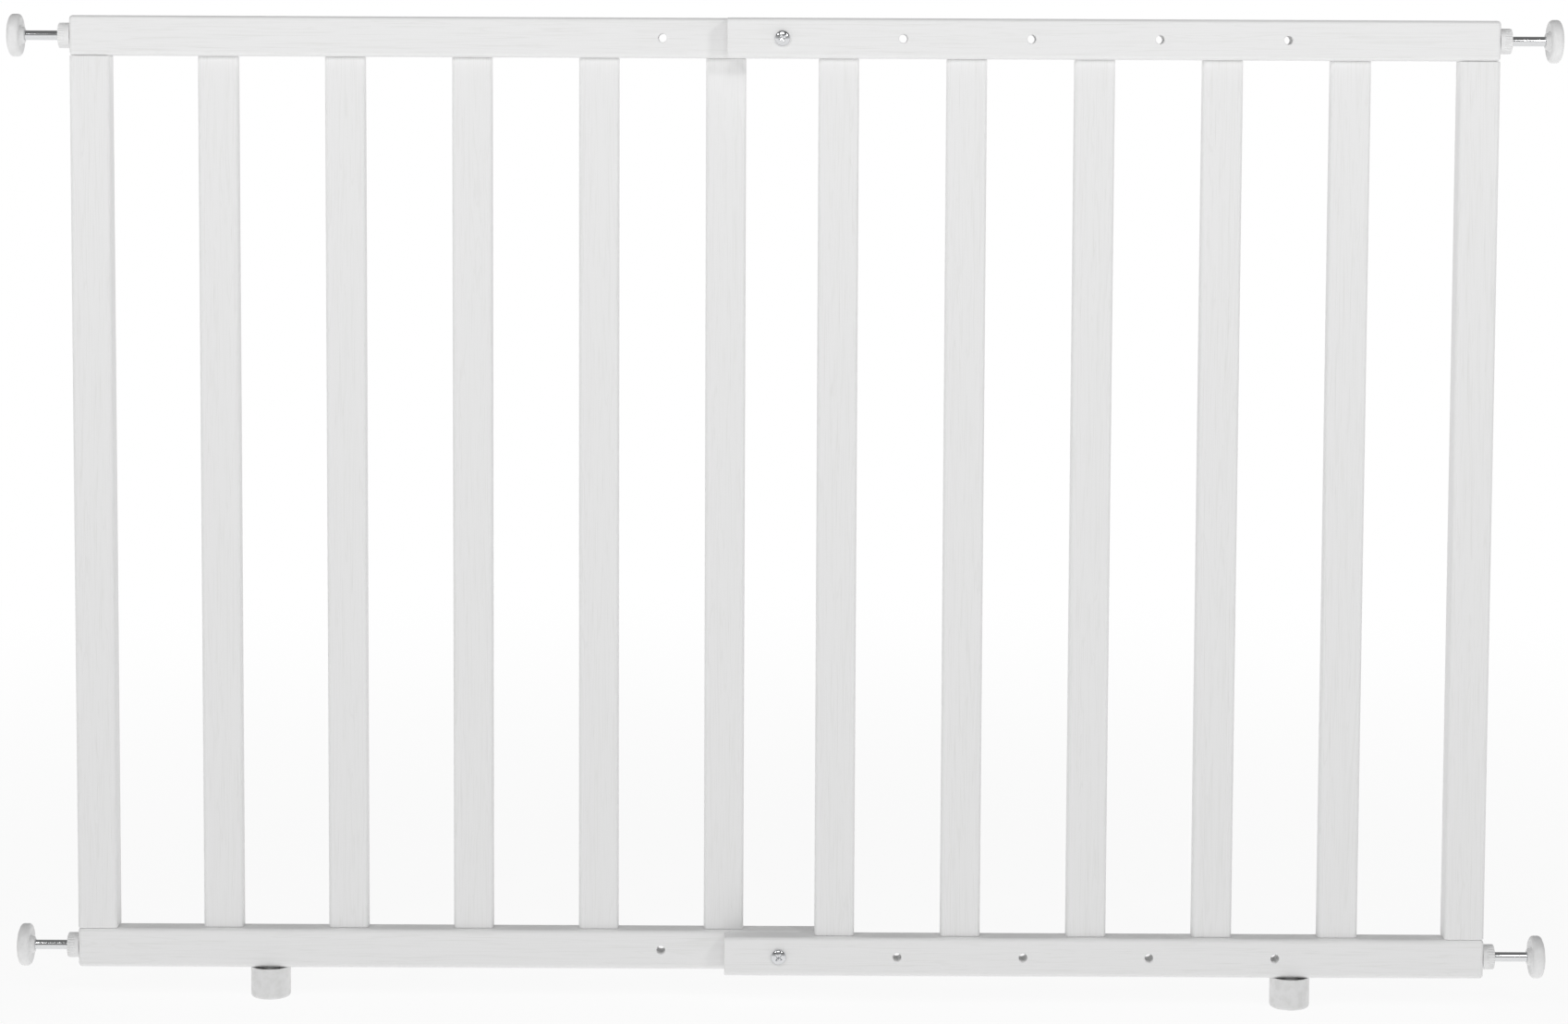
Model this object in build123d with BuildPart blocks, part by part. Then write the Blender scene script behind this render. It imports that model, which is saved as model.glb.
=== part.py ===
from build123d import *
import os

# Extendable safety gate, clamped in a doorway by four threaded spindles.
# Two lattice panels of painted wood overlap in the middle and are held together
# by one connecting screw in each rail. Millimetres, +Z up, +X to the right as
# seen from the front, front towards -Y. The origin is on the floor, below the
# middle of the gate. The rear panel is the left one, the front panel the right.

# ---- Driving dimensions: panels -------------------------------------------
panel_length = 573.0  # a rail, end to end
frame_height = 720.0  # underside of the bottom rail to top of the top rail
rail_height = 30.0
rail_depth = 20.0
post_width = 30.0  # end post, as deep as the rails
bar_width = 30.0
bar_thickness = 12.5
bar_front_setback = 4.5  # rail face to bar face
bar_pitch = 95.0  # leaves 65 mm between bars
bar_count = 5
wood_edge_radius = 3.0
rail_outer_end_radius = 2.8  # below the edge radius, so that the corner closes
rail_free_end_radius = 1.0
upright_end_radius = 0.8
panel_gap = 0.6  # between the two panels' rails

# ---- Driving dimensions: panel connection ---------------------------------
end_hole_inset = 41.0  # free end of a rail to its last hole
rear_hole_count = 2  # holes in each rear rail, counted from its free end
connector_hole_dia = 6.4
hole_chamfer = 0.5
screw_dia = 5.0
screw_head_dia = 11.5
screw_head_height = 3.2
screw_head_round = 2.2
screw_recess_width = 1.3
screw_recess_length = 6.0
screw_recess_depth = 1.8
sleeve_dia = 6.0
sleeve_head_dia = 11.5
sleeve_head_height = 2.4
sleeve_short_of_joint = 1.0  # sleeve's mouth to the rear rail's front face
thread_clearance = 0.05  # radial, between a thread and its nut

# ---- Driving dimensions: wall spindles ------------------------------------
rod_dia = 8.0  # over the thread
shank_dia = 7.2  # plain part, from the nut to the pad: the blank that the thread is rolled on
rod_length = 92.0
rod_exposed = 25.6  # between nut and pad hub as stored, with the thread just hidden
bore_clearance = 0.5  # radial, rod in rail
bore_depth = 84.0
nut_dia = 19.0
nut_length = 8.8
nut_collar_length = 3.0  # plain part, next to the rail
nut_flute_count = 28
nut_flute_dia = 1.5
nut_edge_radius = 0.6
nut_face_gap = 0.1  # nut to rail end
pad_dia = 32.0
pad_thickness = 9.3
pad_edge_radius = 3.0
pad_dish_depth = 2.0
hub_base_dia = 15.0
hub_tip_dia = 11.5
hub_length = 1.8
rod_in_pad = 9.0  # depth that the rod is screwed into the pad
facing_dia = 25.0
facing_thickness = 2.0
facing_proud = 0.5

# ---- Driving dimensions: feet and dowels ----------------------------------
foot_dia = 30.0
foot_height = 24.0
foot_from_end = 145.0
foot_bottom_radius = 3.0
foot_rim_radius = 0.5
foot_rim_gap = 0.4  # only the boss meets the rail, so the other panel's rail slides over the rim
foot_wall = 1.6
foot_floor = 5.0
foot_boss_dia = 13.0
foot_rib_thickness = 1.4
foot_rib_below_rim = 2.5
foot_screw_dia = 4.0
foot_screw_head_dia = 8.0
foot_screw_head_height = 2.8
foot_screw_in_rail = 16.0
foot_counterbore_dia = 8.8
foot_counterbore_depth = 12.0
foot_screw_clearance = 0.2
dowel_dia = 6.0
dowel_spacing = 15.0  # two dowels in each end of a bar
bar_dowel_in_rail = 18.0
post_dowel_in_rail = 8.0  # clear of the spindle's bore
dowel_in_upright = 17.0
dowel_end_chamfer = 0.6

# ---- Derived places --------------------------------------------------------
REAR, FRONT = -1, 1  # also the side of the outer end: rear panel left, front panel right
SIDE_NAMES = {REAR: "rear", FRONT: "front"}
LEVELS = ("bottom", "top")
half_width = panel_length - end_hole_inset  # the two end holes line up at x = 0
bottom_rail_low = foot_height
top_rail_low = foot_height + frame_height - rail_height
upright_low = bottom_rail_low + rail_height
upright_length = frame_height - 2 * rail_height


def panel_y(side):
    """Middle of a panel's depth: the front panel is nearer the viewer."""
    return -side * (rail_depth + panel_gap) / 2


def place_x(side, from_outer_end):
    """X of a point measured inwards from the panel's outer end."""
    return side * (half_width - from_outer_end)


def rail_mid_z(level):
    """Height of a rail's middle."""
    return (bottom_rail_low if level == "bottom" else top_rail_low) + rail_height / 2


def bar_mid_y(side):
    """Middle of a bar's thickness: bars are set back from the rail's face."""
    return panel_y(side) - rail_depth / 2 + bar_front_setback + bar_thickness / 2


def bar_positions():
    """Distances of the bars' middles from the outer end, the end post left out."""
    return [post_width / 2 + i * bar_pitch for i in range(1, bar_count + 1)]


def hole_positions(side):
    """Connector holes: one midway between neighbouring bars, one near the free end."""
    between = [place + bar_pitch / 2 for place in bar_positions()[:-1]]
    holes = between + [panel_length - end_hole_inset]
    return holes if side == FRONT else holes[-rear_hole_count:]


def dowel_places(side):
    """(x, y, depth in the rail) of each dowel along one rail."""
    post = [(place_x(side, post_width / 2), panel_y(side), post_dowel_in_rail)]
    bars = [
        (place_x(side, place) + step * dowel_spacing / 2, bar_mid_y(side), bar_dowel_in_rail)
        for place in bar_positions()
        for step in (-1, 1)
    ]
    return post + bars


def outward_plane(side, level):
    """Plane along a spindle: local X points out of the rail's end, from that end."""
    return Plane(
        origin=(place_x(side, 0), panel_y(side), rail_mid_z(level)),
        x_dir=(side, 0, 0),
        z_dir=(0, -1, 0),
    )


def save(piece, name):
    """Label a finished piece and write it as the STEP of that name."""
    piece.part.label = name
    export_step(piece.part, f"parts/{name}.step")


# ---- Wooden pieces ---------------------------------------------------------
def make_rail(side, level):
    """Rail with rounded edges, connector holes, dowel holes and the spindle's bore."""
    z_mid = rail_mid_z(level)
    inner_dir = 1 if level == "bottom" else -1
    x_low = min(place_x(side, 0), place_x(side, panel_length))
    front_y = panel_y(side) - rail_depth / 2
    with BuildPart() as rail:
        with BuildSketch(Plane.YZ.offset(x_low)):
            with Locations((panel_y(side), z_mid)):
                RectangleRounded(rail_depth, rail_height, wood_edge_radius)
        extrude(amount=panel_length)
        outer_index, free_index = (0, -1) if side == REAR else (-1, 0)
        fillet(rail.faces().sort_by(Axis.X)[outer_index].edges(), radius=rail_outer_end_radius)
        fillet(rail.faces().sort_by(Axis.X)[free_index].edges(), radius=rail_free_end_radius)
        for place in hole_positions(side):
            with Locations(Plane(origin=(place_x(side, place), front_y, z_mid), z_dir=(0, -1, 0))):
                Hole(radius=connector_hole_dia / 2, depth=rail_depth)
        chamfer(rail.edges().filter_by(GeomType.CIRCLE).filter_by(
            lambda edge: abs(edge.radius - connector_hole_dia / 2) < 1e-3), length=hole_chamfer)
        for x, y, depth in dowel_places(side):
            inner_face_z = z_mid + inner_dir * rail_height / 2
            with Locations(Plane(origin=(x, y, inner_face_z), z_dir=(0, 0, inner_dir))):
                Hole(radius=dowel_dia / 2, depth=depth)
        with Locations(Plane(origin=(place_x(side, 0), panel_y(side), z_mid), z_dir=(side, 0, 0))):
            Hole(radius=rod_dia / 2 + bore_clearance, depth=bore_depth)
        if level == "bottom":
            foot_x = place_x(side, foot_from_end)
            with Locations(Plane(origin=(foot_x, panel_y(side), bottom_rail_low), z_dir=(0, 0, -1))):
                Hole(radius=foot_screw_dia / 2, depth=foot_screw_in_rail)
    return rail


def make_upright(x, y, width, depth, dowels_x):
    """Upright between the rails: rounded long edges, dowel holes in both ends."""
    with BuildPart() as upright:
        with BuildSketch(Plane.XY.offset(upright_low)):
            with Locations((x, y)):
                RectangleRounded(width, depth, wood_edge_radius)
        extrude(amount=upright_length)
        ends = upright.faces().sort_by(Axis.Z)
        fillet(ends[0].edges() + ends[-1].edges(), radius=upright_end_radius)
        for dowel_x in dowels_x:
            for z, direction in ((upright_low, -1), (upright_low + upright_length, 1)):
                with Locations(Plane(origin=(dowel_x, y, z), z_dir=(0, 0, direction))):
                    Hole(radius=dowel_dia / 2, depth=dowel_in_upright)
    return upright


def make_end_post(side):
    """The outermost upright, as deep as the rails."""
    x = place_x(side, post_width / 2)
    return make_upright(x, panel_y(side), post_width, rail_depth, [x])


def make_bar(side, place):
    """One bar of the lattice, thinner than the rails."""
    x = place_x(side, place)
    dowels_x = [x - dowel_spacing / 2, x + dowel_spacing / 2]
    return make_upright(x, bar_mid_y(side), bar_width, bar_thickness, dowels_x)


def make_dowels(side):
    """All dowels of one panel: each joins an upright to the top or the bottom rail."""
    with BuildPart() as dowels:
        for x, y, depth in dowel_places(side):
            length = depth + dowel_in_upright
            for low in (upright_low - depth, upright_low + upright_length - dowel_in_upright):
                with Locations((x, y, low)):
                    Cylinder(dowel_dia / 2, length, align=(Align.CENTER, Align.CENTER, Align.MIN))
        chamfer(dowels.edges().filter_by(GeomType.CIRCLE), length=dowel_end_chamfer)
    return dowels


# ---- Wall spindles ---------------------------------------------------------
def make_nut(side, level):
    """Adjusting nut: a round collar with a fluted rim, bearing on the rail's end."""
    plane = outward_plane(side, level)
    outer = nut_face_gap + nut_length
    with BuildPart() as nut:
        with BuildSketch(plane):
            with Locations((nut_face_gap, 0)):
                Rectangle(nut_length, nut_dia / 2, align=(Align.MIN, Align.MIN))
        revolve(axis=Axis(plane.origin, plane.x_dir))
        fillet(nut.edges().filter_by(GeomType.CIRCLE), radius=nut_edge_radius)
        rim = Plane(origin=plane.from_local_coords((outer, 0, 0)), z_dir=plane.x_dir)
        with BuildSketch(rim):
            with PolarLocations(nut_dia / 2, nut_flute_count):
                Circle(nut_flute_dia / 2)
        extrude(amount=-(nut_length - nut_collar_length), mode=Mode.SUBTRACT)
        with Locations(rim):
            Hole(radius=rod_dia / 2 + thread_clearance, depth=nut_length)
    return nut


def make_rod(side, level):
    """Rod: threaded in the rail and the nut, then a plain shank up to its seat in the pad."""
    plane = outward_plane(side, level)
    thread_end = nut_face_gap + nut_length
    shank_length = rod_exposed + rod_in_pad
    with BuildPart() as rod:
        with BuildSketch(Plane(origin=plane.from_local_coords((thread_end, 0, 0)), z_dir=plane.x_dir)):
            Circle(rod_dia / 2)
        extrude(amount=shank_length - rod_length)
        chamfer(rod.edges().filter_by(GeomType.CIRCLE), length=(rod_dia - shank_dia) / 2)
        with BuildSketch(Plane(origin=plane.from_local_coords((thread_end, 0, 0)), z_dir=plane.x_dir)):
            Circle(shank_dia / 2)
        extrude(amount=shank_length)
    return rod


def make_pad(side, level):
    """Round wall pad: dished back with a flared hub for the rod, recess for the facing."""
    plane = outward_plane(side, level)
    hub = nut_face_gap + nut_length + rod_exposed
    back = hub + hub_length
    face = back + pad_thickness
    recess = face - facing_thickness + facing_proud
    with BuildPart() as pad:
        with BuildSketch(plane) as half:
            with BuildLine():
                Polyline(
                    (recess, 0),
                    (hub, 0),
                    (hub, hub_tip_dia / 2),
                    (back + pad_dish_depth, hub_base_dia / 2),
                    (back, pad_dia / 2),
                    (face, pad_dia / 2),
                    (face, facing_dia / 2),
                    (recess, facing_dia / 2),
                    close=True,
                )
            make_face()
            fillet(half.vertices().group_by(Axis.Y)[-1], radius=pad_edge_radius)
        revolve(axis=Axis(plane.origin, plane.x_dir))
        with Locations(Plane(origin=plane.from_local_coords((hub, 0, 0)), z_dir=-plane.x_dir)):
            Hole(radius=shank_dia / 2, depth=rod_in_pad)
    return pad


def make_facing(side, level):
    """Soft disc in the pad's recess: the face that presses on the wall."""
    plane = outward_plane(side, level)
    face = nut_face_gap + nut_length + rod_exposed + hub_length + pad_thickness + facing_proud
    with BuildPart() as facing:
        with BuildSketch(Plane(origin=plane.from_local_coords((face, 0, 0)), z_dir=plane.x_dir)):
            Circle(facing_dia / 2)
        extrude(amount=-facing_thickness)
    return facing


# ---- Panel connection ------------------------------------------------------
def make_panel_screw(level):
    """Connecting screw with a domed cross-recess head; its shank ends at the joint face."""
    face_y = panel_y(FRONT) - rail_depth / 2
    seat = Plane(origin=(0, face_y, rail_mid_z(level)), z_dir=(0, -1, 0))
    with BuildPart() as screw:
        with BuildSketch(seat):
            Circle(screw_head_dia / 2)
        extrude(amount=screw_head_height)
        fillet(screw.faces().sort_by(Axis.Y)[0].edges(), radius=screw_head_round)
        with BuildSketch(seat):
            Circle(screw_dia / 2)
        extrude(amount=-rail_depth)
        with BuildSketch(seat.offset(screw_head_height)):
            Rectangle(screw_recess_length, screw_recess_width)
            Rectangle(screw_recess_width, screw_recess_length)
        extrude(amount=-screw_recess_depth, mode=Mode.SUBTRACT)
    return screw


def make_sleeve_nut(level):
    """Sleeve nut in the rear rail, its flat head on the rail's back."""
    back_y = panel_y(REAR) + rail_depth / 2
    back = Plane(origin=(0, back_y, rail_mid_z(level)), z_dir=(0, 1, 0))
    sleeve_length = rail_depth - sleeve_short_of_joint
    with BuildPart() as sleeve:
        with BuildSketch(back):
            Circle(sleeve_head_dia / 2)
        extrude(amount=sleeve_head_height)
        fillet(sleeve.faces().sort_by(Axis.Y)[-1].edges(), radius=sleeve_head_height / 2)
        with BuildSketch(back):
            Circle(sleeve_dia / 2)
        extrude(amount=-sleeve_length)
        mouth = Plane(origin=(0, back_y - sleeve_length, rail_mid_z(level)), z_dir=(0, -1, 0))
        with Locations(mouth):
            Hole(radius=screw_dia / 2 + thread_clearance, depth=sleeve_length)
    return sleeve


# ---- Feet ------------------------------------------------------------------
def make_foot(side):
    """Round moulded foot: a cup open against the rail, with a ribbed boss for its screw."""
    center = (place_x(side, foot_from_end), panel_y(side))
    inner_radius = foot_dia / 2 - foot_wall
    rim_height = foot_height - foot_rim_gap
    with BuildPart() as foot:
        with BuildSketch():
            with Locations(center):
                Circle(foot_dia / 2)
        extrude(amount=rim_height)
        fillet(foot.faces().sort_by(Axis.Z)[0].edges(), radius=foot_bottom_radius)
        with BuildSketch(Plane.XY.offset(foot_floor)):
            with Locations(center):
                Circle(inner_radius)
                Circle(foot_boss_dia / 2, mode=Mode.SUBTRACT)
        extrude(amount=rim_height - foot_floor, mode=Mode.SUBTRACT)
        rim = foot.edges().filter_by(GeomType.CIRCLE).filter_by(
            lambda edge: edge.center().Z > rim_height - 0.1 and edge.radius > foot_boss_dia)
        fillet(rim, radius=foot_rim_radius)
        with BuildSketch(Plane.XY.offset(foot_floor)):
            with Locations(center):
                Rectangle(2 * inner_radius + foot_wall, foot_rib_thickness)
                Rectangle(foot_rib_thickness, 2 * inner_radius + foot_wall)
        extrude(amount=rim_height - foot_floor - foot_rib_below_rim)
        with BuildSketch(Plane.XY.offset(rim_height)):
            with Locations(center):
                Circle(foot_boss_dia / 2)
        extrude(amount=foot_rim_gap)
        with Locations(Plane(origin=(*center, 0), z_dir=(0, 0, -1))):
            CounterBoreHole(
                radius=foot_screw_dia / 2 + foot_screw_clearance,
                counter_bore_radius=foot_counterbore_dia / 2,
                counter_bore_depth=foot_counterbore_depth,
                depth=foot_height,
            )
    return foot


def make_foot_screw(side):
    """Wood screw that holds the foot, its head in the foot's counterbore."""
    foot_x = place_x(side, foot_from_end)
    head = Plane(origin=(foot_x, panel_y(side), foot_counterbore_depth), z_dir=(0, 0, -1))
    with BuildPart() as screw:
        with BuildSketch(head):
            Circle(foot_screw_head_dia / 2)
        extrude(amount=foot_screw_head_height)
        fillet(screw.faces().sort_by(Axis.Z)[0].edges(), radius=foot_screw_head_height / 2)
        with BuildSketch(head):
            Circle(foot_screw_dia / 2)
        extrude(amount=-(foot_height - foot_counterbore_depth + foot_screw_in_rail))
    return screw


os.makedirs("parts", exist_ok=True)
for side in (REAR, FRONT):
    side_name = SIDE_NAMES[side]
    for level in LEVELS:
        save(make_rail(side, level), f"{side_name}_{level}_rail")
        save(make_nut(side, level), f"{side_name}_{level}_nut")
        save(make_rod(side, level), f"{side_name}_{level}_rod")
        save(make_pad(side, level), f"{side_name}_{level}_pad")
        save(make_facing(side, level), f"{side_name}_{level}_pad_facing")
    save(make_end_post(side), f"{side_name}_end_post")
    for number, place in enumerate(bar_positions(), start=1):
        save(make_bar(side, place), f"{side_name}_bar_{number}")
    save(make_dowels(side), f"{side_name}_dowels")
    save(make_foot(side), f"{side_name}_foot")
    save(make_foot_screw(side), f"{side_name}_foot_screw")
for level in LEVELS:
    save(make_panel_screw(level), f"{level}_panel_screw")
    save(make_sleeve_nut(level), f"{level}_sleeve_nut")
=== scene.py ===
"""Looks of the extendable safety gate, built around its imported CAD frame.

The wooden pieces, the feet and the dowels keep their CAD shapes and get their finishes here.
The wall spindles, the connecting screws and their sleeve nuts are new surfaces, with real
threads, flutes and driver recesses. Metres throughout, in the row's own frame.
"""

import logging
import math
from dataclasses import dataclass, field
from enum import Enum

import bmesh
import bpy
import numpy as np
from mathutils import Matrix, Vector


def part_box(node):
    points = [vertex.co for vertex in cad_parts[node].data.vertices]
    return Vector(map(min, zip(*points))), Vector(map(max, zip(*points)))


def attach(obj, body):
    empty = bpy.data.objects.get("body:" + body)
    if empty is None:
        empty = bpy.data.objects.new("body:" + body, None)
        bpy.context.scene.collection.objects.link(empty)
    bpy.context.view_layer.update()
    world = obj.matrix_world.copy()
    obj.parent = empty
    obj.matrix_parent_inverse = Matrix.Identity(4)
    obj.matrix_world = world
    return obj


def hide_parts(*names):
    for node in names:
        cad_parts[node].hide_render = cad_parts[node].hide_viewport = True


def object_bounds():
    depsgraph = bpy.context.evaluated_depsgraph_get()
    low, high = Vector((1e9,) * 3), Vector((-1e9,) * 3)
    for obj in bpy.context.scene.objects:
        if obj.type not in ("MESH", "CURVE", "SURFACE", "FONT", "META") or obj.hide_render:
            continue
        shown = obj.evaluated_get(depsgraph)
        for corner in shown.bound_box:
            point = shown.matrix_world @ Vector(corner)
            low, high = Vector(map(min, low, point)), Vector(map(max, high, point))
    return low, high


LOG = logging.getLogger("gate")
MM = 0.001
SHARP_ANGLE = math.radians(32)
MERGE_DISTANCE = 2e-7
THREAD_CLEARANCE = 0.05 * MM  # radial, between a thread and its nut
WHITE = (1.0, 1.0, 1.0, 1.0)

Surface = tuple[np.ndarray, np.ndarray]  # points (n, 3) and quads (m, 4)

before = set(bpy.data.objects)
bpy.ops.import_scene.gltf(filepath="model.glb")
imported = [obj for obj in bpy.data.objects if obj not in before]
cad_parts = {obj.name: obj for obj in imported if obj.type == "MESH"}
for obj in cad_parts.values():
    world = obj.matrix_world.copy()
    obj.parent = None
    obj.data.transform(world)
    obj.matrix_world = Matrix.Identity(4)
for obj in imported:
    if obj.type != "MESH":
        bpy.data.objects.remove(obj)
CAD_LOW, CAD_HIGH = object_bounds()


class Side(Enum):
    """The two panels, with the direction of each one's outer end along X."""

    REAR = -1
    FRONT = 1

    @property
    def label(self) -> str:
        """Name that the CAD nodes of this panel start with."""
        return self.name.lower()


class Grain(Enum):
    """Direction of the wood grain in a piece."""

    ALONG_RAIL = "rail"
    ALONG_BAR = "bar"


class Level(Enum):
    """Height of a rail."""

    TOP = "top"
    BOTTOM = "bottom"


# ---- Small tools ---------------------------------------------------------------
def linear(code: str, alpha: float = 1.0) -> tuple[float, float, float, float]:
    """Turn an sRGB hex colour into linear RGBA.

    Args:
        code: Six hex digits with a leading #.
        alpha: Opacity.

    Returns:
        Linear red, green, blue and alpha.
    """
    srgb = np.array([int(code[i : i + 2], 16) / 255 for i in (1, 3, 5)])
    low = srgb / 12.92
    high = ((srgb + 0.055) / 1.055) ** 2.4
    return (*np.where(srgb <= 0.04045, low, high).tolist(), alpha)


def add_node(tree: bpy.types.NodeTree, kind: str, settings: dict, links: dict) -> bpy.types.Node:
    """Add a shader node.

    Args:
        tree: Node tree to add to.
        kind: Node type without the leading ShaderNode.
        settings: Attribute values, or default values where the key is an input's name or index.
        links: Input name or index to the output socket that feeds it.

    Returns:
        The new node.
    """
    node = tree.nodes.new("ShaderNode" + kind)
    for key, value in settings.items():
        if isinstance(key, str) and hasattr(node, key):
            setattr(node, key, value)
        else:
            node.inputs[key].default_value = value
    for key, socket in links.items():
        tree.links.new(socket, node.inputs[key])
    return node


def ramp(
    tree: bpy.types.NodeTree, socket: bpy.types.NodeSocket, low: float, high: float
) -> bpy.types.NodeSocket:
    """Map low..high of a value to 0..1 with a smooth step.

    Args:
        tree: Node tree.
        socket: Value to map.
        low: Value that becomes 0.
        high: Value that becomes 1.

    Returns:
        The mapped value.
    """
    settings = {"interpolation_type": "SMOOTHSTEP", "From Min": low, "From Max": high}
    return add_node(tree, "MapRange", settings, {"Value": socket}).outputs["Result"]


def new_material(name: str) -> tuple[bpy.types.Material, bpy.types.NodeTree, bpy.types.Node]:
    """Make an empty node material.

    Args:
        name: Material name.

    Returns:
        The material, its tree and its Principled shader, linked to the output.
    """
    material = bpy.data.materials.new(name)
    material.use_nodes = True
    tree = material.node_tree
    tree.nodes.clear()
    shader = add_node(tree, "BsdfPrincipled", {}, {})
    add_node(tree, "OutputMaterial", {}, {"Surface": shader.outputs["BSDF"]})
    return material, tree, shader


# ---- Finishes ------------------------------------------------------------------
@dataclass(frozen=True)
class PaintedBeech:
    """Satin white paint sprayed over planed beech: the open grain shows as faint long lines."""

    grain: Grain
    paint: str = "#F1F1F1"
    hollow: str = "#E8E8E7"
    roughness: float = 0.42
    vessel_width: float = 0.8 * MM
    vessel_length: float = 46 * MM
    figure_width: float = 7 * MM
    figure_length: float = 210 * MM
    peel_size: float = 1.6 * MM

    def coordinates(
        self, tree: bpy.types.NodeTree, width: float, length: float
    ) -> bpy.types.NodeSocket:
        """Object coordinates in units of a width across the grain and a length along it."""
        place = add_node(tree, "TexCoord", {}, {}).outputs["Object"]
        across, along = 1 / width, 1 / length
        scale = (across, across, along)
        if self.grain is Grain.ALONG_RAIL:
            scale = (along, across, across)
        return add_node(tree, "Mapping", {"Scale": scale}, {"Vector": place}).outputs["Vector"]

    def material(self) -> bpy.types.Material:
        """Build the paint: grain lines in colour and relief, orange peel in relief only."""
        material, tree, shader = new_material(f"painted_beech_{self.grain.value}")
        fine = self.coordinates(tree, self.vessel_width, self.vessel_length)
        vessels = add_node(
            tree, "TexNoise", {"Scale": 1.0, "Detail": 5.0, "Roughness": 0.62}, {"Vector": fine}
        ).outputs["Fac"]
        broad = self.coordinates(tree, self.figure_width, self.figure_length)
        figure = add_node(
            tree, "TexNoise", {"Scale": 1.0, "Detail": 3.0, "Distortion": 1.4}, {"Vector": broad}
        ).outputs["Fac"]
        rings = add_node(
            tree, "Math", {"operation": "PINGPONG", 1: 0.09}, {0: figure}
        ).outputs["Value"]
        ring_line = ramp(tree, rings, 0.030, 0.0)
        pores = ramp(tree, vessels, 0.52, 0.76)
        mixed = add_node(
            tree, "Math", {"operation": "MULTIPLY_ADD", 1: 0.4}, {0: ring_line, 2: pores}
        ).outputs["Value"]
        colours = {"data_type": "RGBA", 6: linear(self.paint), 7: linear(self.hollow)}
        tone = add_node(tree, "Mix", {**colours, "clamp_factor": True}, {0: mixed}).outputs[2]
        place = add_node(tree, "TexCoord", {}, {}).outputs["Object"]
        peel = add_node(
            tree, "TexNoise", {"Scale": 1 / self.peel_size, "Detail": 2.0}, {"Vector": place}
        ).outputs["Fac"]
        spread = {"To Min": self.roughness - 0.05, "To Max": self.roughness + 0.08}
        sheen_spots = add_node(tree, "MapRange", spread, {"Value": peel}).outputs["Result"]
        relief = add_node(
            tree, "Math", {"operation": "MULTIPLY_ADD", 1: -0.8}, {0: mixed, 2: peel}
        ).outputs["Value"]
        bump = add_node(
            tree, "Bump", {"Strength": 0.22, "Distance": 0.10 * MM}, {"Height": relief}
        ).outputs["Normal"]
        tree.links.new(tone, shader.inputs["Base Color"])
        tree.links.new(sheen_spots, shader.inputs["Roughness"])
        tree.links.new(bump, shader.inputs["Normal"])
        return material


@dataclass(frozen=True)
class BareBeech:
    """Unfinished turned beech of the dowels: pinkish brown with fine dark flecks."""

    body: str = "#D2A679"
    fleck: str = "#A9784A"
    fleck_width: float = 0.5 * MM
    fleck_length: float = 9 * MM

    def material(self) -> bpy.types.Material:
        """Build the bare wood, its flecks drawn out along the dowel."""
        material, tree, shader = new_material("bare_beech")
        place = add_node(tree, "TexCoord", {}, {}).outputs["Object"]
        scale = (1 / self.fleck_width, 1 / self.fleck_width, 1 / self.fleck_length)
        fibre = add_node(tree, "Mapping", {"Scale": scale}, {"Vector": place}).outputs["Vector"]
        flecks = add_node(
            tree, "TexNoise", {"Scale": 1.0, "Detail": 4.0}, {"Vector": fibre}
        ).outputs["Fac"]
        tone = add_node(
            tree,
            "Mix",
            {"data_type": "RGBA", 6: linear(self.body), 7: linear(self.fleck)},
            {0: ramp(tree, flecks, 0.5, 0.75)},
        ).outputs[2]
        bump = add_node(
            tree, "Bump", {"Strength": 0.4, "Distance": 0.1 * MM}, {"Height": flecks}
        ).outputs["Normal"]
        shader.inputs["Roughness"].default_value = 0.7
        tree.links.new(tone, shader.inputs["Base Color"])
        tree.links.new(bump, shader.inputs["Normal"])
        return material


@dataclass(frozen=True)
class MouldedPlastic:
    """Injection-moulded plastic: a fine spark-eroded texture and a faint cloudiness."""

    name: str
    body: str
    cloud: str
    roughness: float
    texture_size: float
    texture_depth: float
    cloud_size: float = 6 * MM

    def material(self) -> bpy.types.Material:
        """Build the plastic, with the mould's texture as relief and in the gloss."""
        material, tree, shader = new_material(self.name)
        place = add_node(tree, "TexCoord", {}, {}).outputs["Object"]
        cloud = add_node(
            tree, "TexNoise", {"Scale": 1 / self.cloud_size, "Detail": 3.0}, {"Vector": place}
        ).outputs["Fac"]
        grit = add_node(
            tree, "TexNoise", {"Scale": 1 / self.texture_size, "Detail": 2.0}, {"Vector": place}
        ).outputs["Fac"]
        tone = add_node(
            tree,
            "Mix",
            {"data_type": "RGBA", 6: linear(self.body), 7: linear(self.cloud)},
            {0: ramp(tree, cloud, 0.35, 0.75)},
        ).outputs[2]
        spread = {"To Min": self.roughness - 0.06, "To Max": self.roughness + 0.08}
        gloss = add_node(tree, "MapRange", spread, {"Value": grit}).outputs["Result"]
        bump = add_node(
            tree, "Bump", {"Strength": 0.35, "Distance": self.texture_depth}, {"Height": grit}
        ).outputs["Normal"]
        tree.links.new(tone, shader.inputs["Base Color"])
        tree.links.new(gloss, shader.inputs["Roughness"])
        tree.links.new(bump, shader.inputs["Normal"])
        return material


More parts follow.
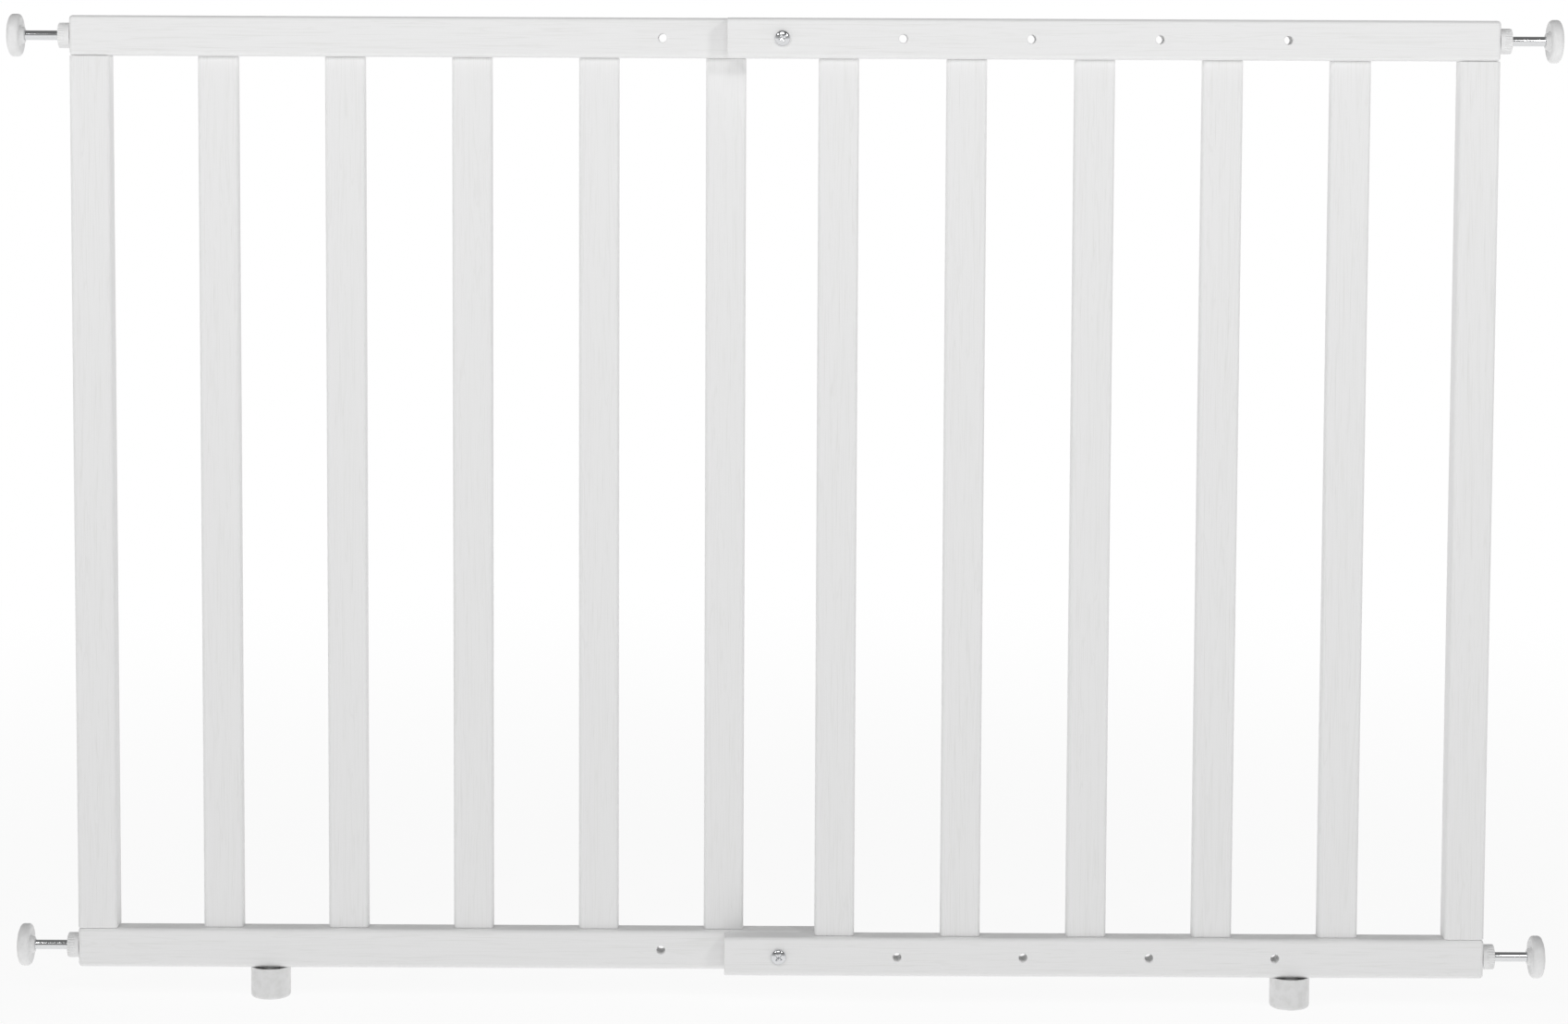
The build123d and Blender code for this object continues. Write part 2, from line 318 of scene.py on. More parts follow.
@dataclass(frozen=True)
class ZincPlate:
    """Bright zinc plate on steel: a cool mirror broken by fine scratches and a dull bloom."""

    name: str
    metal: str
    bloom: str
    roughness: float
    bloom_size: float = 2.5 * MM
    scratch_size: float = 0.35 * MM

    def material(self) -> bpy.types.Material:
        """Build the plated metal, its bloom and scratches varying the gloss."""
        material, tree, shader = new_material(self.name)
        place = add_node(tree, "TexCoord", {}, {}).outputs["Object"]
        bloom = add_node(
            tree, "TexNoise", {"Scale": 1 / self.bloom_size, "Detail": 4.0}, {"Vector": place}
        ).outputs["Fac"]
        fine = {"Scale": 1 / self.scratch_size, "Detail": 2.0, "Distortion": 0.6}
        scratches = add_node(tree, "TexNoise", fine, {"Vector": place}).outputs["Fac"]
        tone = add_node(
            tree,
            "Mix",
            {"data_type": "RGBA", 6: linear(self.metal), 7: linear(self.bloom)},
            {0: ramp(tree, bloom, 0.5, 0.9)},
        ).outputs[2]
        spread = {"To Min": self.roughness - 0.04, "To Max": self.roughness + 0.06}
        gloss = add_node(tree, "MapRange", spread, {"Value": bloom}).outputs["Result"]
        bump = add_node(
            tree, "Bump", {"Strength": 0.15, "Distance": 0.02 * MM}, {"Height": scratches}
        ).outputs["Normal"]
        shader.inputs["Metallic"].default_value = 1.0
        tree.links.new(tone, shader.inputs["Base Color"])
        tree.links.new(gloss, shader.inputs["Roughness"])
        tree.links.new(bump, shader.inputs["Normal"])
        return material


# ---- Surfaces --------------------------------------------------------------------
def quads(rows: int, columns: int, close_rows: bool) -> np.ndarray:
    """Quads of a grid whose columns close on themselves.

    Args:
        rows: Number of rows of points.
        columns: Number of points in each row.
        close_rows: Whether the last row joins the first.

    Returns:
        Point indices, one row of four for each face.
    """
    first = np.arange(rows if close_rows else rows - 1)[:, None]
    column = np.arange(columns)[None, :]
    here, there = first * columns, ((first + 1) % rows) * columns
    beside = (column + 1) % columns
    return np.stack(
        [here + column, here + beside, there + beside, there + column], axis=-1
    ).reshape(-1, 4)


def make_piece(name: str, parts: list[Surface]) -> bpy.types.Object:
    """Join point and face arrays into one object whose faces point outwards.

    Args:
        name: Object name.
        parts: Pairs of points (n, 3) and faces (m, 4).

    Returns:
        The object, at the origin, its place in its mesh.
    """
    points, faces, start = [], [], 0
    for vertices, polygons in parts:
        points.append(vertices)
        faces.append(polygons + start)
        start += len(vertices)
    mesh = bpy.data.meshes.new(name)
    mesh.from_pydata(np.concatenate(points), [], np.concatenate(faces).tolist())
    shape = bmesh.new()
    shape.from_mesh(mesh)
    bmesh.ops.remove_doubles(shape, verts=shape.verts, dist=MERGE_DISTANCE)
    bmesh.ops.dissolve_degenerate(shape, edges=shape.edges, dist=MERGE_DISTANCE)
    bmesh.ops.recalc_face_normals(shape, faces=shape.faces)
    shape.to_mesh(mesh)
    shape.free()
    mesh.shade_smooth()
    mesh.set_sharp_from_angle(angle=SHARP_ANGLE)
    piece = bpy.data.objects.new(name, mesh)
    bpy.context.scene.collection.objects.link(piece)
    return piece


def rounded_profile(corners: list[tuple[float, float, float]], steps: int = 6) -> np.ndarray:
    """Closed outline with each corner turned by an arc.

    The arc touches both sides at radius / tan(half the corner's angle) from the corner,
    and its points lie on the circle about the centre on the corner's bisector.

    Args:
        corners: (along, radius from the axis, rounding) of each corner, in order.
        steps: Segments in each arc.

    Returns:
        Outline points (n, 2).
    """
    place = np.array([corner[:2] for corner in corners])
    outline = []
    for index, (along, out, rounding) in enumerate(corners):
        corner = np.array([along, out])
        if rounding <= 0:
            outline.append(corner[None])
            continue
        back = place[index - 1] - corner
        ahead = place[(index + 1) % len(place)] - corner
        back, ahead = back / np.linalg.norm(back), ahead / np.linalg.norm(ahead)
        half = math.acos(np.clip(back @ ahead, -1, 1)) / 2
        middle = (back + ahead) / np.linalg.norm(back + ahead)
        centre = corner + middle * rounding / math.sin(half)
        start = corner + back * rounding / math.tan(half) - centre
        end = corner + ahead * rounding / math.tan(half) - centre
        share = np.linspace(0, 1, steps + 1)[:, None]
        chord = start * (1 - share) + end * share
        outline.append(centre + chord / np.linalg.norm(chord, axis=1, keepdims=True) * rounding)
    return np.concatenate(outline)


@dataclass(frozen=True)
class TurningAxis:
    """An axis that a piece is turned about: distances run outwards from its start."""

    start: Vector
    along: Vector
    across: Vector

    def points(self, distance: np.ndarray, radius: np.ndarray, angle: np.ndarray) -> np.ndarray:
        """Place cylindrical coordinates.

        The point is the start, plus the distance along the axis, plus the radius turned by the
        angle from the axis's across direction, by the right-hand rule about the axis.

        Args:
            distance: Distances along the axis.
            radius: Distances from it.
            angle: Angles about it.

        Returns:
            Points (n, 3).
        """
        across, third = np.array(self.across), np.array(self.along.cross(self.across))
        distance, radius, angle = np.broadcast_arrays(distance, radius, angle)
        turned = radius[..., None] * (
            np.cos(angle)[..., None] * across + np.sin(angle)[..., None] * third
        )
        placed = np.array(self.start) + distance[..., None] * np.array(self.along) + turned
        return placed.reshape(-1, 3)

    def revolve(self, outline: np.ndarray, segments: int) -> Surface:
        """Turn a closed outline about the axis.

        Args:
            outline: Points (n, 2) of distance and radius.
            segments: Steps around the axis.

        Returns:
            Points and quads.
        """
        angle = np.linspace(0, 2 * math.pi, segments, endpoint=False)[None, :]
        points = self.points(outline[:, :1], outline[:, 1:], angle)
        return points, quads(len(outline), segments, close_rows=True)


@dataclass(frozen=True)
class MetricThread:
    """ISO metric thread: 60 degree flanks, crests an eighth and roots a quarter of the pitch."""

    diameter: float
    pitch: float
    segments: int = 32

    @property
    def depth(self) -> float:
        """Height of the thread's ridge."""
        return 0.6134 * self.pitch

    def radius(self, turns: np.ndarray) -> np.ndarray:
        """Radius at a place counted in turns of the helix, a crest's middle at whole numbers."""
        off = np.abs(turns - np.round(turns))
        fall = np.clip((off - 1 / 16) / (3 / 8 - 1 / 16), 0, 1)
        return self.diameter / 2 - self.depth * fall

    def surface(self, axis: TurningAxis, start: float, end: float, chamfer: float) -> Surface:
        """Threaded bar with chamfered, closed ends.

        Each row of points follows the helix, distance = pitch x (place in the profile + angle
        over a full turn), so ridges stay crisp. Rows past an end are pressed into its plane.

        Args:
            axis: Axis of the bar.
            start: Distance of its first end.
            end: Distance of its last end.
            chamfer: Chamfer at both ends.

        Returns:
            Points and quads.
        """
        corners = np.array([-1 / 16, 1 / 16, 3 / 8, 5 / 8])
        whole = np.arange(math.floor(start / self.pitch) - 1, math.ceil(end / self.pitch) + 1)
        place = (whole[:, None] + corners[None, :]).reshape(-1, 1)
        angle = np.linspace(0, 2 * math.pi, self.segments + 1)[None, :]
        free = self.pitch * (place + angle / (2 * math.pi))
        distance = np.clip(free, start, end)
        radius = self.radius(distance / self.pitch - angle / (2 * math.pi))
        nearest = np.minimum(distance - start, end - distance)
        radius = np.minimum(radius, self.diameter / 2 - chamfer + nearest)
        first, last = np.full_like(angle, start), np.full_like(angle, end)
        distance = np.concatenate([first, distance, last])
        radius = np.concatenate([np.zeros_like(angle), radius, np.zeros_like(angle)])
        rows, columns = distance.shape
        index = np.arange(rows * columns).reshape(rows, columns)
        faces = np.stack([index[:-1, :-1], index[:-1, 1:], index[1:, 1:], index[1:, :-1]], axis=-1)
        angles = np.broadcast_to(angle, distance.shape)
        return axis.points(distance, radius, angles), faces.reshape(-1, 4)


@dataclass(frozen=True)
class CrossRecess:
    """Cross-shaped driver recess with tapered wings and a pointed bottom."""

    wing_length: float = 3.1 * MM
    wing_width: float = 0.62 * MM
    depth: float = 1.9 * MM
    wall: float = 0.16 * MM
    core: float = 1.25 * MM

    def drop(self, x: np.ndarray, y: np.ndarray) -> np.ndarray:
        """Depth of the recess: full near the centre, shallower towards the tips of the wings."""
        reach = np.hypot(x, y)

        def wing(along: np.ndarray, side: np.ndarray) -> np.ndarray:
            """One pair of wings: 1 inside, 0 outside, with a short sloping wall."""
            inside = np.clip((self.wing_width - np.abs(side)) / self.wall, 0, 1)
            return inside * np.clip((self.wing_length - np.abs(along)) / (2 * self.wall), 0, 1)

        floor = np.interp(reach, [0, self.core, self.wing_length], [1.0, 0.75, 0.35])
        cone = np.clip((self.core - reach) / self.wall, 0, 1)
        return self.depth * floor * np.maximum(np.maximum(wing(x, y), wing(y, x)), cone)


@dataclass(frozen=True)
class DomedHead:
    """Pan head with a driver recess, made of a square grid pressed into a disc."""

    diameter: float
    height: float
    edge: float
    recess: CrossRecess
    turn: float = 0.0
    lines: int = 56

    def grid_lines(self) -> np.ndarray:
        """Places of grid lines from -1 to 1, crowded at the recess's walls."""
        half = self.diameter / 2
        walls = [self.recess.wing_width, self.recess.wing_width - self.recess.wall]
        walls += [self.recess.wing_length, self.recess.wing_length - 2 * self.recess.wall]
        crowd = np.array(walls) / half
        even = np.linspace(0, 1, self.lines // 2)
        far = np.abs(even[:, None] - crowd[None, :]).min(axis=1) > 0.012
        positive = np.unique(np.concatenate([even[far], crowd, [0.0, 1.0]]))
        return np.concatenate([-positive[:0:-1], positive])

    def surface(self, axis: TurningAxis) -> list[Surface]:
        """Head from its seat, at distance 0, to the top of its dome.

        The square (a, b) becomes the disc x = a sqrt(1 - b^2 / 2), y = b sqrt(1 - a^2 / 2).
        The dome's height falls with the fourth power of the distance from the middle.

        Args:
            axis: Axis that points out of the head.

        Returns:
            Point and face arrays of the top and of the rim.
        """
        line = self.grid_lines()
        a, b = np.meshgrid(line, line)
        half = self.diameter / 2
        x, y = half * a * np.sqrt(1 - b * b / 2), half * b * np.sqrt(1 - a * a / 2)
        reach = np.hypot(x, y) / half
        dome = self.edge + (self.height - self.edge) * np.sqrt(np.clip(1 - reach**2.6, 0, 1))
        distance = dome - self.recess.drop(x, y)
        angle = np.arctan2(y, x) + self.turn
        top = axis.points(distance, reach * half, angle)
        count = len(line)
        index = np.arange(count * count).reshape(count, count)
        cells = np.stack([index[:-1, :-1], index[:-1, 1:], index[1:, 1:], index[1:, :-1]], axis=-1)
        loop = np.concatenate([index[0, :-1], index[:-1, -1], index[-1, :0:-1], index[:0:-1, 0]])
        around = angle.reshape(-1)[loop][None, :]
        drop = np.array([self.edge, self.edge * 0.45, 0.12 * MM, 0.0, 0.0])[:, None]
        reach_out = np.array([half, half, half, half - 0.12 * MM, 0.0])[:, None]
        rim = axis.points(drop, reach_out, around)
        return [(top, cells.reshape(-1, 4)), (rim, quads(len(drop), len(loop), close_rows=False))]


# ---- Sub-assemblies ----------------------------------------------------------------
@dataclass
class Dresser:
    """Keeps one material for each finish and hands it to pieces and CAD nodes."""

    rail_wood: bpy.types.Material = field(
        default_factory=lambda: PaintedBeech(Grain.ALONG_RAIL).material()
    )
    bar_wood: bpy.types.Material = field(
        default_factory=lambda: PaintedBeech(Grain.ALONG_BAR).material()
    )
    dowel_wood: bpy.types.Material = field(default_factory=lambda: BareBeech().material())
    nylon: bpy.types.Material = field(
        default_factory=lambda: MouldedPlastic(
            "moulded_nylon", "#EFEFEF", "#E8E8E8", 0.40, 0.5 * MM, 0.03 * MM
        ).material()
    )
    facing: bpy.types.Material = field(
        default_factory=lambda: MouldedPlastic(
            "soft_elastomer", "#DCDCDA", "#CFCFCC", 0.74, 0.35 * MM, 0.05 * MM
        ).material()
    )
    foot: bpy.types.Material = field(
        default_factory=lambda: MouldedPlastic(
            "moulded_foot_plastic", "#E8E8E8", "#DEDEDD", 0.50, 0.6 * MM, 0.04 * MM
        ).material()
    )
    rod_steel: bpy.types.Material = field(
        default_factory=lambda: ZincPlate(
            "zinc_plated_thread", "#E0E1E2", "#D6D7D9", 0.14
        ).material()
    )
    screw_steel: bpy.types.Material = field(
        default_factory=lambda: ZincPlate(
            "bright_zinc_screw", "#DCDDDF", "#CFD0D2", 0.12
        ).material()
    )

    def dress(self, piece: bpy.types.Object, material: bpy.types.Material) -> None:
        """Give a whole piece or CAD node one material."""
        piece.data.materials.clear()
        piece.data.materials.append(material)


def node_centre(node: str) -> Vector:
    """Middle of a CAD node's box."""
    low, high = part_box(node)
    return (low + high) / 2


def stand_for(piece: bpy.types.Object, node: str, body: str) -> None:
    """Let a new piece ride on a body in place of a CAD node, which is hidden."""
    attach(piece, body)
    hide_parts(node)
    LOG.info("%s rides on %s: %d faces", piece.name, body, len(piece.data.polygons))


@dataclass
class LatticePanel:
    """One panel: CAD rails, post, bars, dowels, foot and foot screw with their finishes."""

    side: Side
    bars: int = 5

    def dress(self, dresser: Dresser) -> None:
        """Finish every CAD node of the panel."""
        label = self.side.label
        for level in Level:
            dresser.dress(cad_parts[f"{label}_{level.value}_rail"], dresser.rail_wood)
        for upright in [f"{label}_end_post"] + [f"{label}_bar_{i + 1}" for i in range(self.bars)]:
            dresser.dress(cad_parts[upright], dresser.bar_wood)
        dresser.dress(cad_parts[f"{label}_dowels"], dresser.dowel_wood)
        dresser.dress(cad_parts[f"{label}_foot"], dresser.foot)
        dresser.dress(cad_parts[f"{label}_foot_screw"], dresser.screw_steel)
        LOG.info("%s panel dressed", label)


@dataclass
class WallSpindle:
    """Threaded rod, adjusting nut, wall pad and facing of one corner."""

    side: Side
    level: Level
    thread: MetricThread = MetricThread(diameter=8 * MM, pitch=1.25 * MM)
    rod_chamfer: float = 0.4 * MM
    shank_diameter: float = 7.2 * MM
    flutes: int = 28
    flute_depth: float = 0.62 * MM
    collar: float = 3.0 * MM
    steps_per_flute: int = 8
    hub_length: float = 1.8 * MM
    hub_tip_radius: float = 5.7 * MM
    dish_radius: float = 7.4 * MM
    dish_depth: float = 1.9 * MM
    rod_in_pad: float = 9.0 * MM
    facing_proud: float = 0.5 * MM
    grip_rings: int = 5
    ring_depth: float = 0.35 * MM
    ring_margin: float = 1.6 * MM

    @property
    def label(self) -> str:
        """Name that the CAD nodes of this corner start with."""
        return f"{self.side.label}_{self.level.value}"

    def axis(self, node: str) -> tuple[TurningAxis, float, float]:
        """Outward axis from a node's inner end, its length and its outer radius."""
        low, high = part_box(node)
        centre = node_centre(node)
        inner = low.x if self.side is Side.FRONT else high.x
        start = Vector((inner, centre.y, centre.z))
        along = Vector((self.side.value, 0, 0))
        return TurningAxis(start, along, Vector((0, 0, 1))), high.x - low.x, (high.z - low.z) / 2

    def rod(self, dresser: Dresser) -> None:
        """Rod: a rolled thread in the rail and the nut, then a plain drawn shank up to the pad."""
        axis, length, _ = self.axis(f"{self.label}_rod")
        nut_axis, nut_length, _ = self.axis(f"{self.label}_nut")
        thread_end = (nut_axis.start - axis.start).dot(axis.along) + nut_length
        thread = self.thread.surface(axis, 0.0, thread_end, self.rod_chamfer)
        radius = self.shank_diameter / 2
        inside_thread = thread_end - 0.5 * MM
        shank = rounded_profile([
            (inside_thread, 0.0, 0.0),
            (inside_thread, radius, 0.0),
            (length, radius, 0.3 * MM),
            (length, 0.0, 0.0),
        ])
        piece = make_piece(f"{self.label}_threaded_rod", [thread, axis.revolve(shank, 64)])
        dresser.dress(piece, dresser.rod_steel)
        stand_for(piece, f"{self.label}_rod", f"{self.label}_spindle")

    def nut(self, dresser: Dresser) -> None:
        """Round nut: a plain collar at the rail, then a fluted grip.

        The grip's radius is the outline's, less the flute depth times the fourth power of
        cos(flutes x angle / 2), fading out into the collar and away from the rim.
        """
        axis, length, radius = self.axis(f"{self.label}_nut")
        bore = self.thread.diameter / 2 + THREAD_CLEARANCE
        outline = rounded_profile([
            (0.0, bore, 0.25 * MM),
            (0.0, radius, 0.5 * MM),
            (self.collar, radius, 0.15 * MM),
            (self.collar + 0.25 * MM, radius - 0.25 * MM, 0.1 * MM),
            (self.collar + 0.5 * MM, radius, 0.15 * MM),
            (length, radius, 0.8 * MM),
            (length, bore + 1.6 * MM, 0.2 * MM),
            (length - 0.5 * MM, bore + 1.3 * MM, 0.15 * MM),
            (length - 0.5 * MM, bore, 0.2 * MM),
        ])
        steps = self.flutes * self.steps_per_flute
        angle = np.linspace(0, 2 * math.pi, steps, endpoint=False)[None, :]
        distance, out = outline[:, :1], outline[:, 1:]
        fade = np.clip((distance - self.collar - 0.3 * MM) / (0.8 * MM), 0, 1)
        near_rim = np.clip((out - radius + 2.2 * MM) / (2.2 * MM), 0, 1)
        flute = np.abs(np.cos(self.flutes * angle / 2)) ** 4
        out = out - self.flute_depth * fade * near_rim * flute
        surface = axis.points(distance, out, angle), quads(*out.shape, close_rows=True)
        piece = make_piece(f"{self.label}_adjusting_nut", [surface])
        dresser.dress(piece, dresser.nylon)
        stand_for(piece, f"{self.label}_nut", f"{self.label}_adjuster")

    def pad(self, dresser: Dresser) -> None:
        """Wall pad: flared hub, dished back, thick rounded rim and a recess for the facing."""
        axis, length, radius = self.axis(f"{self.label}_pad")
        _, facing_length, facing_radius = self.axis(f"{self.label}_pad_facing")
        bore = self.shank_diameter / 2
        recess = length - facing_length + self.facing_proud
        hub = self.hub_length
        outline = rounded_profile([
            (0.0, bore, 0.3 * MM),
            (0.0, self.hub_tip_radius, 0.5 * MM),
            (hub + self.dish_depth, self.dish_radius, 1.2 * MM),
            (hub, radius, 2.8 * MM),
            (length, radius, 3.0 * MM),
            (length, facing_radius, 0.3 * MM),
            (recess, facing_radius, 0.1 * MM),
            (recess, 0.2 * MM, 0.0),
            (self.rod_in_pad, 0.2 * MM, 0.0),
            (self.rod_in_pad, bore, 0.0),
        ])
        piece = make_piece(f"{self.label}_wall_pad", [axis.revolve(outline, 96)])
        dresser.dress(piece, dresser.nylon)
        stand_for(piece, f"{self.label}_pad", f"{self.label}_spindle")

    def facing(self, dresser: Dresser) -> None:
        """Soft disc with concentric grip rings on the face that presses on the wall."""
        axis, length, radius = self.axis(f"{self.label}_pad_facing")
        corners = [(0.0, 0.0, 0.0), (0.0, radius, 0.15 * MM), (length, radius, 0.4 * MM)]
        pitch = (radius - self.ring_margin) / self.grip_rings
        floor = length - self.ring_depth
        for ring in range(self.grip_rings, 0, -1):
            top = ring * pitch
            corners += [
                (length, top, 0.1 * MM),
                (floor, top - 0.35 * MM, 0.08 * MM),
                (floor, top - 0.75 * MM, 0.08 * MM),
                (length, top - 1.1 * MM, 0.1 * MM),
            ]
        corners.append((length, 0.0, 0.0))
        outline = rounded_profile(corners, steps=3)
        piece = make_piece(f"{self.label}_grip_facing", [axis.revolve(outline, 72)])
        dresser.dress(piece, dresser.facing)
        stand_for(piece, f"{self.label}_pad_facing", f"{self.label}_spindle")

    def build(self, dresser: Dresser) -> None:
        """Make all four pieces."""
        self.rod(dresser)
        self.nut(dresser)
        self.pad(dresser)
        self.facing(dresser)


@dataclass
class PanelConnection:
    """Connecting screw in front and sleeve nut behind, at one rail."""

    level: Level
    turn: float
    thread: MetricThread = MetricThread(diameter=5 * MM, pitch=0.8 * MM)
    head_height: float = 3.2 * MM
    sleeve_head_height: float = 2.4 * MM
    sleeve_radius: float = 3.0 * MM
    overlap: float = 0.2 * MM  # that a shank or a sleeve runs into its head

    def screw(self, dresser: Dresser) -> None:
        """Pan-head screw: domed head with a cross recess, and its threaded shank."""
        node = f"{self.level.value}_panel_screw"
        low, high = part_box(node)
        centre = node_centre(node)
        seat = low.y + self.head_height
        start = Vector((centre.x, seat, centre.z))
        head_axis = TurningAxis(start, Vector((0, -1, 0)), Vector((1, 0, 0)))
        head = DomedHead(high.x - low.x, self.head_height, 0.9 * MM, CrossRecess(), self.turn)
        shank_axis = TurningAxis(start, Vector((0, 1, 0)), Vector((1, 0, 0)))
        shank = self.thread.surface(shank_axis, -self.overlap, high.y - seat, 0.5 * MM)
        parts = head.surface(head_axis) + [shank]
        piece = make_piece(f"{self.level.value}_connecting_screw", parts)
        dresser.dress(piece, dresser.screw_steel)
        stand_for(piece, node, "front_panel")

    def sleeve(self, dresser: Dresser) -> None:
        """Sleeve nut: low domed head with a recess at the back, plain sleeve in the rail."""
        node = f"{self.level.value}_sleeve_nut"
        low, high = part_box(node)
        centre = node_centre(node)
        seat = high.y - self.sleeve_head_height
        axis = TurningAxis(Vector((centre.x, seat, centre.z)), Vector((0, 1, 0)), Vector((1, 0, 0)))
        recess = CrossRecess(wing_length=2.7 * MM, depth=1.3 * MM)
        head = DomedHead(high.x - low.x, self.sleeve_head_height, 0.8 * MM, recess, self.turn + 0.4)
        inward = TurningAxis(axis.start, Vector((0, -1, 0)), Vector((1, 0, 0)))
        length = seat - low.y
        bore = self.thread.diameter / 2 + THREAD_CLEARANCE
        tube = rounded_profile([
            (-self.overlap, self.sleeve_radius, 0.0),
            (length, self.sleeve_radius, 0.2 * MM),
            (length, bore, 0.1 * MM),
            (0.4 * MM, bore, 0.0),
            (0.4 * MM, 0.0, 0.0),
            (-self.overlap, 0.0, 0.0),
        ])
        parts = head.surface(axis) + [inward.revolve(tube, 48)]
        piece = make_piece(f"{self.level.value}_sleeve_connector", parts)
        dresser.dress(piece, dresser.screw_steel)
        stand_for(piece, node, "rear_panel")

    def build(self, dresser: Dresser) -> None:
        """Make both pieces."""
        self.screw(dresser)
        self.sleeve(dresser)


# ---- Studio --------------------------------------------------------------------------
@dataclass
class Studio:
    """Pale floor that fades into a white surround, soft lights and the camera."""

    focal_length: float = 84.86
    sensor: float = 36.0
    distance: float = 2.766
    height: float = 0.6895
    offset: float = -0.0011
    tilt: float = math.radians(4.44)
    pan: float = math.radians(0.069)
    roll: float = math.radians(0.258)
    shift: float = -0.085
    floor_size: float = 40.0
    floor_fade_from: float = 0.3
    floor_fade_to: float = 2.4
    floor_glow: float = 0.92
    wall_light: float = 0.82
    ceiling_light: float = 0.20
    front_dimming: float = 0.45

    def camera(self) -> None:
        """Camera a little above the middle of the gate, looking slightly down and level."""
        data = bpy.data.cameras.new("studio_camera")
        data.lens, data.sensor_width, data.shift_y = self.focal_length, self.sensor, self.shift
        data.clip_end = 200.0
        ahead = Vector((
            math.sin(self.pan) * math.cos(self.tilt),
            math.cos(self.pan) * math.cos(self.tilt),
            -math.sin(self.tilt),
        ))
        right = Vector((math.cos(self.pan), -math.sin(self.pan), 0))
        up = right.cross(ahead)
        rolled_right = right * math.cos(self.roll) + up * math.sin(self.roll)
        rolled_up = up * math.cos(self.roll) - right * math.sin(self.roll)
        turn = Matrix((rolled_right, rolled_up, -ahead)).transposed().to_4x4()
        camera = bpy.data.objects.new("studio_camera", data)
        camera.matrix_world = Matrix.Translation((self.offset, -self.distance, self.height)) @ turn
        bpy.context.scene.collection.objects.link(camera)
        bpy.context.scene.camera = camera

    def floor(self) -> None:
        """Floor whose colour brightens away from the gate until it meets the surround."""
        material, tree, shader = new_material("studio_floor")
        place = add_node(tree, "TexCoord", {}, {}).outputs["Object"]
        reach = add_node(tree, "VectorMath", {"operation": "LENGTH"}, {0: place}).outputs["Value"]
        fading = {
            "interpolation_type": "SMOOTHSTEP",
            "From Min": self.floor_fade_from,
            "From Max": self.floor_fade_to,
            "To Min": self.floor_glow,
            "To Max": 1.0,
        }
        fade = add_node(tree, "MapRange", fading, {"Value": reach}).outputs["Result"]
        shader.inputs["Base Color"].default_value = linear("#F4F4F3")
        shader.inputs["Roughness"].default_value = 0.9
        glow = add_node(tree, "Emission", {"Color": WHITE, "Strength": 1.0}, {})
        mixed = {0: fade, 1: shader.outputs["BSDF"], 2: glow.outputs["Emission"]}
        blend = add_node(tree, "MixShader", {}, mixed).outputs["Shader"]
        output = next(node for node in tree.nodes if node.type == "OUTPUT_MATERIAL")
        tree.links.new(blend, output.inputs["Surface"])
        mesh = bpy.data.meshes.new("studio_floor")
        half = self.floor_size / 2
        corners = [(-half, -half, 0), (half, -half, 0), (half, half, 0), (-half, half, 0)]
        mesh.from_pydata(corners, [], [(0, 1, 2, 3)])
        mesh.materials.append(material)
        floor = bpy.data.objects.new("studio_floor", mesh)
        bpy.context.scene.collection.objects.link(floor)

    def softbox(
        self, name: str, azimuth: float, elevation: float, reach: float, size: float, power: float
    ) -> None:
        """Square area light aimed at the gate's middle.

        Args:
            name: Light name.
            azimuth: Degrees to the right of the gate's front.
            elevation: Degrees above its middle.
            reach: Metres from it.
            size: Side of the light, in metres.
            power: Watts.
        """
        data = bpy.data.lights.new(name, "AREA")
        data.size, data.energy = size, power
        turn, lift = math.radians(azimuth), math.radians(elevation)
        level = math.cos(lift)
        away = Vector((math.sin(turn) * level, -math.cos(turn) * level, math.sin(lift)))
        light = bpy.data.objects.new(name, data)
        light.location = (CAD_LOW + CAD_HIGH) / 2 + away * reach
        light.rotation_euler = (-away).to_track_quat("-Z", "Y").to_euler()
        bpy.context.scene.collection.objects.link(light)

    def surround(self) -> None:
        """White to the eye, and a pale room with a dark ceiling to everything that it lights."""
        world = bpy.data.worlds.new("white_surround")
        world.use_nodes = True
        tree = world.node_tree
        tree.nodes.clear()
        seen = add_node(tree, "Background", {"Color": WHITE, "Strength": 1.0}, {})
        direction = add_node(tree, "TexCoord", {}, {}).outputs["Generated"]
        parts = add_node(tree, "SeparateXYZ", {}, {0: direction}).outputs
        rising = {
            "interpolation_type": "SMOOTHSTEP",
            "From Min": 0.05,
            "From Max": 0.5,
            "To Min": self.wall_light,
            "To Max": self.ceiling_light,
        }
        walls = add_node(tree, "MapRange", rising, {"Value": parts["Z"]}).outputs["Result"]
        receding = {"From Min": -1.0, "From Max": 0.2, "To Min": self.front_dimming, "To Max": 1.0}
        depth = add_node(tree, "MapRange", receding, {"Value": parts["Y"]}).outputs["Result"]
        dim = add_node(tree, "Math", {"operation": "MULTIPLY"}, {0: walls, 1: depth})
        room = add_node(tree, "Background", {"Color": WHITE}, {"Strength": dim.outputs["Value"]})
        eye = add_node(tree, "LightPath", {}, {}).outputs["Is Camera Ray"]
        views = {0: eye, 1: room.outputs["Background"], 2: seen.outputs["Background"]}
        both = add_node(tree, "MixShader", {}, views).outputs["Shader"]
        add_node(tree, "OutputWorld", {}, {"Surface": both})
        bpy.context.scene.world = world

    def lights(self) -> None:
        """Large softbox overhead in front, a smaller one on each side."""
        self.softbox("overhead_softbox", -4, 42, 3.2, 1.4, 16)
        self.softbox("right_softbox", 34, 30, 2.6, 0.35, 8.5)
        self.softbox("left_softbox", -42, 36, 2.6, 0.30, 8)

    def build(self) -> None:
        """Set the whole stage."""
        self.camera()
        self.floor()
        self.surround()
        self.lights()
        bpy.context.scene.view_settings.view_transform = "Standard"


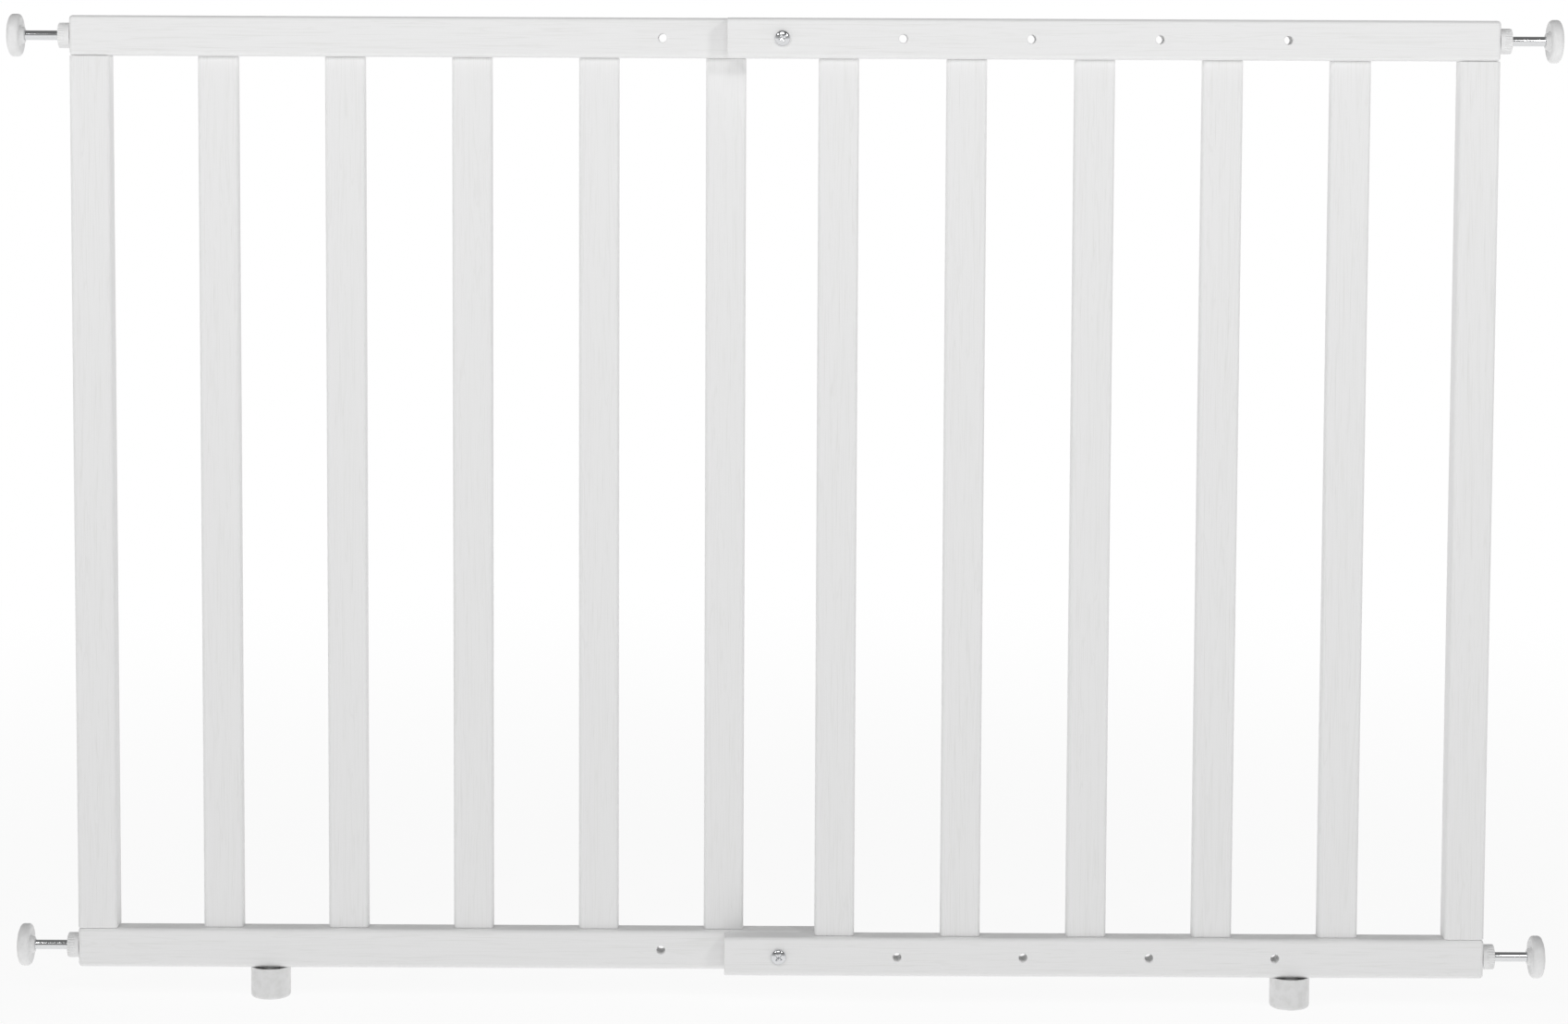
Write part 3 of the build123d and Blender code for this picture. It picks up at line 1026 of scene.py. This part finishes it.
def main() -> None:
    """Build the gate's looks and its studio, piece by piece."""
    logging.basicConfig(level=logging.INFO, format="%(message)s")
    dresser = Dresser()
    for side in Side:
        LatticePanel(side).dress(dresser)
        for level in Level:
            WallSpindle(side, level).build(dresser)
    PanelConnection(Level.TOP, math.radians(28)).build(dresser)
    PanelConnection(Level.BOTTOM, math.radians(52)).build(dresser)
    Studio().build()


if __name__ == "__main__":
    main()
